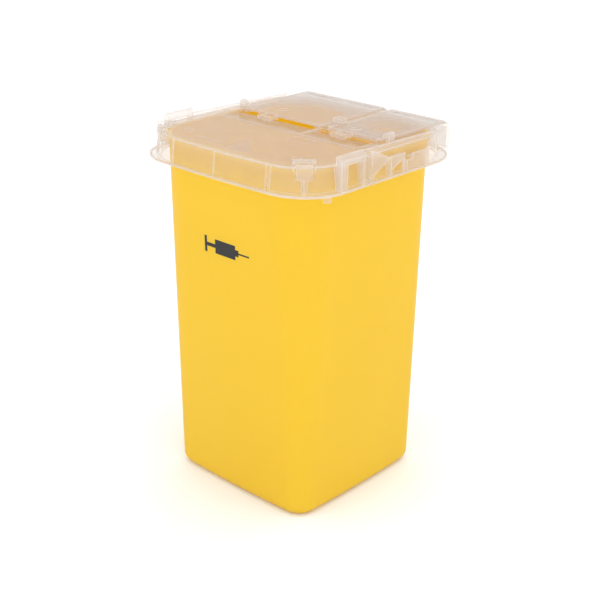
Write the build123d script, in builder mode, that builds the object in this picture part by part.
from build123d import *
import os

# A small sharps container: a tapered square bin, a clear press-on lid and two hinged flaps.
# Millimetres. The bin stands on Z = 0 with the vertical axis through its middle.
# -Y is the front, +X the right side, and the flaps hinge along the back (+Y).

# ---------------------------------------------------------------- driving dimensions
# bin
floor_half = 48.0          # half-width of the base, before its bottom fillet
mouth_half = 53.3          # half-width of the mouth, outside the wall
bin_height = 193.5
bin_wall = 1.5
bin_floor = 1.8
floor_corner = 11.3        # radius of the upright corners at the base
mouth_corner = 23.5        # and at the mouth
side_bow = 1.4             # how far each side bulges in the middle
bottom_fillet = 6.0
rim_height = 2.9
rim_lip = 1.2              # how far the rim stands out from the wall
rim_round = 0.6
foot_inset = 9.0           # the base panel is raised inside a foot ring
foot_rise = 0.8

# lid
deck_top = 195.2
deck_thick = 1.4
deck_round = 0.9
skin = 1.2                 # wall of the skirt, the ribs and the brackets
lid_half = 57.6
lid_front = 55.0           # front edge at the corners, before the bow
lid_back = 57.8
lid_bow = 4.0
lid_corner = 24.5
skirt_flare = 1.3          # the skirt leans out towards its foot
brim_bottom = 181.4
brim_thick = 1.2
brim_half = 62.8
brim_front = 59.7
brim_back = 61.6
brim_bow = 2.5
brim_corner = 25.0
brim_top = brim_bottom + brim_thick
deck_under = deck_top - deck_thick

# back wall that carries the hinges
wall_half = 51.0
wall_outer = 62.2
end_web_depth = 15.0       # webs from the ends of the wall towards the skirt
end_rib_top = 196.2        # ribs that stand up beside the flaps' back corners

# flaps
flap_thick = 1.5
flap_gap = 0.3             # air under a closed flap
flap_bottom = deck_top + flap_gap
flap_top = flap_bottom + flap_thick
flap_front = 7.0
flap_back = 60.7
large_left, large_right = -48.9, 8.8
small_left, small_right = 13.0, 48.9
film_thick = 0.35

# recess in front of the flaps, a ramp that falls towards them
ramp_left, ramp_right = -51.0, 46.0
ramp_rib = 8.0             # a rib parts the recess in two here
ramp_front = -8.8
ramp_back = 8.0
ramp_drop = 1.9

# openings in the deck
hole_x, hole_y, hole_radius = 30.0, 36.0, 12.5
collar_depth = 3.0

# outer plane of the side brackets
side_outer = 62.4
side_inner = side_outer - skin
web_root = lid_half - 1    # the brackets' webs start inside the skirt and are trimmed to it

os.makedirs("parts", exist_ok=True)


def save(piece, name):
    """Label a finished piece and write its STEP file."""
    piece.label = name
    export_step(piece, "parts/" + name + ".step")


# ---------------------------------------------------------------- bin
def bin_outline(height, half, corner):
    """Sketch a square with four bowed sides and round corners."""
    with BuildSketch(Plane.XY.offset(height)) as outline:
        with BuildLine():
            ThreePointArc((-half, -half), (0, -half - side_bow), (half, -half))
            ThreePointArc((half, -half), (half + side_bow, 0), (half, half))
            ThreePointArc((half, half), (0, half + side_bow), (-half, half))
            ThreePointArc((-half, half), (-half - side_bow, 0), (-half, -half))
        make_face()
        fillet(outline.vertices(), corner)
    return outline.sketch


def half_at(height):
    """Outside half-width of the bin wall at a height."""
    return floor_half + (mouth_half - floor_half) * height / bin_height


rim_bottom = bin_height - rim_height

with BuildPart() as cavity:
    cavity_floor = bin_outline(bin_floor, half_at(bin_floor) - bin_wall, floor_corner - bin_wall)
    cavity_mouth = bin_outline(bin_height, mouth_half - bin_wall, mouth_corner - bin_wall)
    loft([cavity_floor, cavity_mouth])
    fillet(cavity.faces().sort_by(Axis.Z)[0].edges(), bottom_fillet - bin_wall)

with BuildPart() as bin_body:
    loft([bin_outline(0, floor_half, floor_corner), bin_outline(bin_height, mouth_half, mouth_corner)])
    fillet(bin_body.faces().sort_by(Axis.Z)[0].edges(), bottom_fillet)
    extrude(bin_outline(rim_bottom, mouth_half + rim_lip, mouth_corner + rim_lip), amount=rim_height)
    rim_edges = bin_body.faces().sort_by(Axis.Z)[-1].edges()
    fillet(rim_edges, rim_round)
    add(cavity.part, mode=Mode.SUBTRACT)
    foot_panel = bin_outline(0, floor_half - foot_inset, floor_corner)
    extrude(foot_panel, amount=foot_rise, mode=Mode.SUBTRACT)

save(bin_body.part, "bin")


# ---------------------------------------------------------------- lid
def lid_plan(height, grow):
    """Sketch the lid's plan: straight sides and back, a bowed front, round corners."""
    half = lid_half + grow
    front = lid_front + grow
    back = lid_back + grow
    with BuildSketch(Plane.XY.offset(height)) as plan:
        with BuildLine():
            ThreePointArc((-half, -front), (0, -front - lid_bow), (half, -front))
            Polyline((half, -front), (half, back), (-half, back), (-half, -front))
        make_face()
        fillet(plan.vertices(), lid_corner + grow)
    return plan.sketch


# the snaps sit on the diagonals of the bin, one at each front corner
corners = {"right": -45, "left": -135}


def outward(name):
    """Unit vector from the vertical axis out through a front corner."""
    return Vector(1, 0, 0).rotate(Axis.Z, corners[name])


def corner_plane(name, height):
    """Level plane through the vertical axis, local X pointing outward through a front corner."""
    return Plane(origin=(0, 0, height), x_dir=outward(name), z_dir=(0, 0, 1))


def corner_section(name):
    """Upright plane through a front corner, local X pointing outward and local Y up."""
    return Plane(origin=(0, 0, 0), x_dir=outward(name), z_dir=outward(name).cross(Vector(0, 0, 1)))


# hood and window over each corner snap, as distances from the vertical axis
window_near, window_far = 66.0, 79.0
window_half = 4.4
window_bottom = 188.6
hood_near, hood_far = 67.2, 72.8
hood_half = 5.5
hood_top = 197.8
hood_foot = 193.8
bar_far, bar_bottom = 69.0, 196.3     # the bar across the top of the hood

# the large drop opening, stepped at its back right corner
drop_outline = [
    (-46, ramp_back),
    (-46, 32),
    (-32, 46),
    (-14, 46),
    (-14, 43.5),
    (-3, 43.5),
    (-3, 39),
    (3.5, 39),
    (3.5, ramp_back),
]
slit_left, slit_right, slit_back = 14.0, 19.0, 11.0

skirt_rib_places = [-31.5, -0.7, 33.5, 35.8]
skirt_rib_width = 0.8
skirt_rib_proud = 0.5
skirt_rib_cut = 20         # long enough, front to back, to take in the bowed skirt
skirt_rib_top = deck_top - 1
side_rim_half = 56.6       # outer face of the low rim along each side of the deck
side_rim_front, side_rim_back = -23.0, 50.0
side_rim_front_top, side_rim_back_top = 197.6, 196.2
side_rim_foot = deck_top - 0.5
fin_x, fin_front, fin_back, fin_depth = -5.0, -51.0, -31.0, 6.5
tab_x, tab_y, tab_width, tab_drop = 59.6, -44.2, 4.0, 3.0

with BuildPart() as skirt_core:
    loft([lid_plan(brim_bottom, skirt_flare - skin), lid_plan(deck_under, -skin)])

with BuildPart() as skirt_ribs:
    rib_foot = lid_plan(brim_top, skirt_flare + skirt_rib_proud)
    rib_head = lid_plan(skirt_rib_top, skirt_rib_proud)
    loft([rib_foot, rib_head])
    with BuildSketch(Plane.XY.offset(brim_top)):
        for place in skirt_rib_places:
            with Locations((place, -lid_front)):
                Rectangle(skirt_rib_width, skirt_rib_cut)
    extrude(amount=skirt_rib_top - brim_top, mode=Mode.INTERSECT)

with BuildPart() as lid_shell:
    # skirt and deck
    loft([lid_plan(brim_top, skirt_flare), lid_plan(deck_top, 0)])
    fillet(lid_shell.faces().sort_by(Axis.Z)[-1].edges(), deck_round)
    add(skirt_ribs.part)
    # brim round the foot of the skirt
    with BuildSketch(Plane.XY.offset(brim_bottom)) as brim:
        with BuildLine():
            ThreePointArc(
                (-brim_half, -brim_front), (0, -brim_front - brim_bow), (brim_half, -brim_front)
            )
            Polyline(
                (brim_half, -brim_front),
                (brim_half, brim_back),
                (-brim_half, brim_back),
                (-brim_half, -brim_front),
            )
        make_face()
        fillet(brim.vertices(), brim_corner)
    extrude(amount=brim_thick)
    # small gate tab under the brim's front right corner
    with BuildSketch(Plane.XY.offset(brim_bottom)):
        with Locations((tab_x, tab_y)):
            Rectangle(tab_width, skin, rotation=45)
    extrude(amount=-tab_drop)
    # deck overhang, and the back wall and its two end webs under it
    with BuildSketch(Plane.XY.offset(deck_under)):
        with Locations((0, wall_outer - end_web_depth / 2)):
            Rectangle(2 * wall_half, end_web_depth)
    extrude(amount=deck_thick)
    with BuildSketch(Plane.XY.offset(brim_top)):
        with Locations((0, wall_outer - skin / 2)):
            Rectangle(2 * wall_half, skin)
        for side in (-1, 1):
            with Locations((side * (wall_half - skin / 2), wall_outer - end_web_depth / 2)):
                Rectangle(skin, end_web_depth)
    extrude(amount=deck_under - brim_top)
    # end ribs, which go on up beside the flaps
    with BuildSketch(Plane.XY.offset(deck_under)):
        for side in (-1, 1):
            with Locations((side * (wall_half - skin / 2), wall_outer - end_web_depth / 2)):
                Rectangle(skin, end_web_depth)
    extrude(amount=end_rib_top - deck_under)
    # low rim along both sides of the deck
    for rim_side in (-side_rim_half, side_rim_half - skin):
        with BuildSketch(Plane.YZ.offset(rim_side)):
            with BuildLine():
                Polyline(
                    (side_rim_front, side_rim_foot),
                    (side_rim_front, side_rim_front_top),
                    (side_rim_back, side_rim_back_top),
                    (side_rim_back, side_rim_foot),
                    close=True,
                )
            make_face()
        extrude(amount=skin)
    # hood over each corner snap
    for corner in corners:
        with BuildSketch(corner_plane(corner, hood_foot)):
            with Locations(((hood_near + hood_far) / 2, 0)):
                Rectangle(hood_far - hood_near, 2 * hood_half)
        extrude(amount=hood_top - hood_foot)
    # hollow for the bin's mouth
    add(skirt_core.part, mode=Mode.SUBTRACT)
    # windows under the hoods, down the skirt, and the gap in front of each hood's bar
    for corner in corners:
        for near, bottom, top in (
            (window_near, window_bottom, bar_bottom),
            (bar_far, bar_bottom, hood_top + 1),
        ):
            with BuildSketch(corner_plane(corner, bottom)):
                with Locations(((near + window_far) / 2, 0)):
                    Rectangle(window_far - near, 2 * window_half)
            extrude(amount=top - bottom, mode=Mode.SUBTRACT)
    # plate of the ramp, then the recess above it
    with BuildSketch(Plane.YZ.offset(ramp_left - skin)):
        with BuildLine():
            Polyline(
                (ramp_front - 2 * skin, deck_top - 0.1),
                (ramp_front, deck_top - skin),
                (ramp_back, deck_top - ramp_drop - skin),
                (ramp_back, deck_top - 0.1),
                close=True,
            )
        make_face()
    extrude(amount=ramp_right - ramp_left + 2 * skin)
    with BuildSketch(Plane.YZ.offset(ramp_left)):
        with BuildLine():
            Polyline(
                (ramp_front, deck_top),
                (ramp_back, deck_top - ramp_drop),
                (ramp_back, deck_top + 1),
                (ramp_front, deck_top + 1),
                close=True,
            )
        make_face()
    extrude(amount=ramp_right - ramp_left, mode=Mode.SUBTRACT)
    # rib that parts the recess in two
    with BuildSketch(Plane.XY.offset(deck_under)):
        with Locations((ramp_rib, (ramp_front + ramp_back) / 2)):
            Rectangle(skin, ramp_back - ramp_front)
    extrude(amount=deck_thick)
    # large drop opening and the finger slit beside it
    with BuildSketch(Plane.XY.offset(deck_under - 2)):
        with BuildLine():
            Polyline(*drop_outline, close=True)
        make_face()
        with Locations(((slit_left + slit_right) / 2, (ramp_back + slit_back) / 2)):
            Rectangle(slit_right - slit_left, slit_back - ramp_back)
    extrude(amount=deck_thick + 3, mode=Mode.SUBTRACT)
    # round opening with a collar under it
    with BuildSketch(Plane.XY.offset(deck_under - collar_depth)):
        with Locations((hole_x, hole_y)):
            Circle(hole_radius + skin)
    extrude(amount=collar_depth)
    with BuildSketch(Plane.XY.offset(deck_under - collar_depth)):
        with Locations((hole_x, hole_y)):
            Circle(hole_radius)
    extrude(amount=collar_depth + deck_thick + 1, mode=Mode.SUBTRACT)
    # stiffening fin under the front of the deck
    with BuildSketch(Plane.YZ.offset(fin_x - skin / 2)):
        with BuildLine():
            Polyline(
                (fin_front, deck_under),
                (fin_back, deck_under),
                (fin_back, deck_under - fin_depth),
                close=True,
            )
        make_face()
    extrude(amount=skin)

save(lid_shell.part, "lid_shell")


# ---------------------------------------------------------------- corner snaps
tongue_half = 4.0
tongue_face = 71.7         # inner side of the tongue's outer plate
tongue_far = 72.7
tongue_bottom = 189.2
tongue_top = 196.4
cheek_near = 70.6
cheek_thick = 1.0
hook_near = 67.3
hook_thick = 1.0
stem_half = 1.6
stem_near = 70.5
stem_foot = 73.4
stem_rib_half = 0.3
stem_rib_proud = 0.5

for corner in corners:
    with BuildPart() as snap:
        # outer plate with two side cheeks
        with BuildSketch(corner_plane(corner, tongue_bottom)):
            with Locations(((tongue_face + tongue_far) / 2, 0)):
                Rectangle(tongue_far - tongue_face, 2 * tongue_half)
            for side in (-1, 1):
                with Locations(((cheek_near + tongue_face) / 2, side * (tongue_half - cheek_thick / 2))):
                    Rectangle(tongue_face - cheek_near, cheek_thick)
        extrude(amount=tongue_top - tongue_bottom)
        # hook that reaches in under the bin's rim
        with BuildSketch(corner_plane(corner, tongue_bottom)):
            with Locations(((hook_near + tongue_far) / 2, 0)):
                Rectangle(tongue_far - hook_near, 2 * tongue_half)
        extrude(amount=hook_thick)
        # sloping stem that carries the tongue up from the brim, and the rib along it
        for half, proud in ((stem_half, 0), (stem_rib_half, stem_rib_proud)):
            with BuildSketch(corner_section(corner)):
                with BuildLine():
                    Polyline(
                        (stem_near, brim_top),
                        (stem_foot + proud, brim_top),
                        (tongue_far + proud, tongue_bottom),
                        (tongue_far, tongue_bottom + hook_thick),
                        (stem_near, tongue_bottom + hook_thick),
                        close=True,
                    )
                make_face()
            extrude(amount=half, both=True)
        add(lid_shell.part, mode=Mode.SUBTRACT)
        add(skirt_core.part, mode=Mode.SUBTRACT)
        # the hook itself is inside the skirt
        with BuildSketch(corner_plane(corner, tongue_bottom)):
            with Locations(((hook_near + tongue_far) / 2, 0)):
                Rectangle(tongue_far - hook_near, 2 * tongue_half)
        extrude(amount=hook_thick)
    save(snap.part, "corner_snap_" + corner)


# ---------------------------------------------------------------- side brackets
def wall_slab(front, back, inner, bottom, top):
    """Sketch-and-extrude block on a side: from y front to back, x inner to the outer plane."""
    with BuildPart() as slab:
        with BuildSketch(Plane.XY.offset(bottom)):
            with Locations(((inner + side_outer) / 2, (front + back) / 2)):
                Rectangle(side_outer - inner, back - front)
        extrude(amount=top - bottom)
    return slab.part


def side_plate(points, thick):
    """Flat plate in the side's outer plane, its outline given as (y, z) points."""
    with BuildPart() as plate:
        with BuildSketch(Plane.YZ.offset(side_outer - thick)):
            with BuildLine():
                Polyline(*points, close=True)
            make_face()
        extrude(amount=thick)
    return plate.part


rail_front, rail_back = -37.5, -20.0
rail_inner = 58.8
rail_bottom, rail_ridge, rail_outer_top = 194.8, 199.2, 197.5
rail_crest = 0.8
post_back = -33.0
rear_post_front = -21.4

with BuildPart() as rail:
    with BuildSketch(Plane.XZ.offset(-rail_front)):
        with BuildLine():
            Polyline(
                (rail_inner, rail_bottom),
                (side_outer, rail_bottom),
                (side_outer, rail_outer_top),
                (rail_inner + rail_crest, rail_ridge),
                (rail_inner, rail_ridge),
                close=True,
            )
        make_face()
    extrude(amount=rail_front - rail_back)
    add(wall_slab(rail_front, post_back, side_inner, brim_top, rail_bottom))
    add(wall_slab(rail_front, rail_front + skin, web_root, brim_top, rail_bottom))
    add(wall_slab(post_back - skin, post_back, web_root, brim_top, rail_bottom))
    add(wall_slab(rear_post_front, rail_back, web_root, brim_top, rail_bottom))
    add(lid_shell.part, mode=Mode.SUBTRACT)
    add(skirt_core.part, mode=Mode.SUBTRACT)

wing_front, wing_back = -15.4, -13.9
wing_top = 197.8
wing_tip_y, wing_tip_z = -0.9, 192.0
wing_foot_z = 185.6
step_front, step_inner, step_rise = -18.5, 60.4, 1.8
with BuildPart() as wing:
    add(wall_slab(wing_front, wing_back, web_root, brim_top, deck_top))
    add(side_plate([(wing_front, brim_top), (wing_front, wing_top), (wing_back, wing_top),
                    (wing_tip_y, wing_tip_z), (wing_back, wing_foot_z), (wing_back, brim_top)], skin))
    add(wall_slab(step_front, wing_front, step_inner, brim_top, brim_top + step_rise))
    add(lid_shell.part, mode=Mode.SUBTRACT)
    add(skirt_core.part, mode=Mode.SUBTRACT)


lip_round = 0.5


def ledge(front, back, top, lip):
    """Shelf that stands out from the skirt, with a lip along its outer edge."""
    with BuildPart() as shelf:
        add(wall_slab(front, back, web_root, top - skin, top))
        add(wall_slab(front, back, side_inner, top, top + lip))
        edges = shelf.faces().sort_by(Axis.Z)[-1].edges().filter_by(Axis.Y)
        fillet(edges, lip_round)
    return shelf.part


ledge_lip = 1.4
post_width = 0.9
front_ledge_front, front_ledge_back, front_ledge_top = -0.5, 10.2, 191.1
gusset_short, gusset_drop = 0.4, 4.6
with BuildPart() as front_ledge:
    add(ledge(front_ledge_front, front_ledge_back, front_ledge_top, ledge_lip))
    under = front_ledge_top - skin
    add(wall_slab(front_ledge_front, front_ledge_front + skin, web_root, brim_top, under))
    add(side_plate([(front_ledge_front, under), (front_ledge_back - gusset_short, under),
                    (front_ledge_front, under - gusset_drop)], skin))
    add(wall_slab(front_ledge_back - post_width, front_ledge_back, side_inner, brim_top, under))
    add(lid_shell.part, mode=Mode.SUBTRACT)
    add(skirt_core.part, mode=Mode.SUBTRACT)

rear_ledge_front, rear_ledge_back, rear_ledge_top = 12.0, 29.9, 189.4
rear_shelf_front = 16.8
with BuildPart() as rear_ledge:
    add(ledge(rear_shelf_front, rear_ledge_back, rear_ledge_top, ledge_lip))
    under = rear_ledge_top - skin
    for web in (rear_ledge_front, rear_ledge_back - skin):
        add(wall_slab(web, web + skin, web_root, brim_top, under))
    add(side_plate([(rear_ledge_front, brim_top), (rear_ledge_front, under), (rear_ledge_back, under),
                    (rear_ledge_back, brim_top)], skin))
    add(lid_shell.part, mode=Mode.SUBTRACT)
    add(skirt_core.part, mode=Mode.SUBTRACT)

save(wing.part, "side_wing_right")
brackets = {
    "side_rail": rail.part,
    "front_ledge": front_ledge.part,
    "rear_ledge": rear_ledge.part,
}
for name, right_part in brackets.items():
    save(right_part, name + "_right")
    save(mirror(right_part, about=Plane.YZ), name + "_left")


# ---------------------------------------------------------------- flap catches
catch_top = 200.0
centre_catch_top = 199.6
catch_depth = 4.0
head_bottom = flap_top + 0.3
head_edge = 1.2            # height of the head's blunt edge
head_slope = 0.4           # and how far that edge leans back
left_catch_x, left_catch_y = -51.2, 7.5
right_catch_x, right_catch_y = 52.0, 10.0
centre_catch_x, centre_catch_y = 9.5, 16.5


def catch(post_width, reach, top):
    """Post beside a flap with a head that reaches over the flap's edge."""
    with BuildPart() as piece:
        with BuildSketch(Plane.XZ):
            with BuildLine():
                Polyline(
                    (0, deck_top),
                    (post_width, deck_top),
                    (post_width, head_bottom),
                    (reach, head_bottom),
                    (reach - head_slope, head_bottom + head_edge),
                    (post_width, top),
                    (0, top),
                    close=True,
                )
            make_face()
        extrude(amount=-catch_depth)
    return piece.part


side_catch = catch(2.0, 4.2, catch_top)
save(Pos(left_catch_x, left_catch_y, 0) * side_catch, "flap_catch_left")
right_side_catch = mirror(side_catch, about=Plane.YZ)
save(Pos(right_catch_x, right_catch_y, 0) * right_side_catch, "flap_catch_right")
centre_catch = catch(3.0, 6.2, centre_catch_top)
save(Pos(centre_catch_x, centre_catch_y, 0) * centre_catch, "flap_catch_centre")


# ---------------------------------------------------------------- flaps
flap_edge = 0.25           # chamfer round a flap's top
large_corner, small_corner = 1.0, 5.0
plain_corner = 1.0
large_clip_x, small_clip_x = -24.3, 27.3
clip_bottom = 194.9
clip_round = 0.7
film_inset = 0.5           # a film stops short of its flap's sides
film_heel = 0.6            # and thickens where it meets the flap


def flap(left, right, front_right_corner):
    """Flat flap with a heavier front edge."""
    with BuildPart() as piece:
        with BuildSketch(Plane.XY.offset(flap_bottom)) as plan:
            with Locations(((left + right) / 2, (flap_front + flap_back) / 2)):
                Rectangle(right - left, flap_back - flap_front)
            front_corners = plan.vertices().group_by(Axis.Y)[0].sort_by(Axis.X)
            fillet(front_corners[0], plain_corner)
            front_corners = plan.vertices().group_by(Axis.Y)[0].sort_by(Axis.X)
            fillet(front_corners[-1], front_right_corner)
        extrude(amount=flap_thick)
        chamfer(piece.faces().sort_by(Axis.Z)[-1].edges(), flap_edge)
    return piece.part


def clip(middle):
    """Pair of round-nosed snap fingers on a flap's front edge."""
    with BuildPart() as piece:
        with BuildSketch(Plane.XY.offset(clip_bottom)) as plan:
            with Locations((middle - 4.4, 4.0), (middle + 3.2, 3.6)):
                Rectangle(1.8, 6.4)
            with Locations((middle - 4.2, 1.3)):
                Circle(2.2)
            with Locations((middle + 1.4, 0.2)):
                Ellipse(3.6, 2.5)
            with Locations((middle, flap_front + 5)):
                Rectangle(20, 10, mode=Mode.SUBTRACT)
            fillet([v for v in plan.vertices() if v.Y < flap_front - 0.3], 0.45)
        extrude(amount=flap_top - clip_bottom)
        level_edges = piece.edges().filter_by(Plane.XY)
        fillet([e for e in level_edges if e.center().Y < flap_front - 0.05], clip_round)
    return piece.part


def film(left, right):
    """Thin hinge film from the back edge of a flap to the top of the back wall."""
    with BuildPart() as piece:
        with BuildSketch(Plane.YZ.offset(left + film_inset)):
            with BuildLine():
                Polyline(
                    (flap_back, deck_top),
                    (wall_outer, deck_top),
                    (wall_outer, deck_top + film_thick),
                    (flap_back + film_heel, deck_top + film_thick),
                    (flap_back, deck_top + film_thick + film_heel),
                    close=True,
                )
            make_face()
        extrude(amount=right - left - 2 * film_inset)
    return piece.part


flaps = {
    "large_flap": (large_left, large_right, large_corner, large_clip_x),
    "small_flap": (small_left, small_right, small_corner, small_clip_x),
}
for name, (left, right, corner, clip_middle) in flaps.items():
    save(flap(left, right, corner), name)
    save(clip(clip_middle), name + "_clip")
    save(film(left, right), name + "_hinge_film")
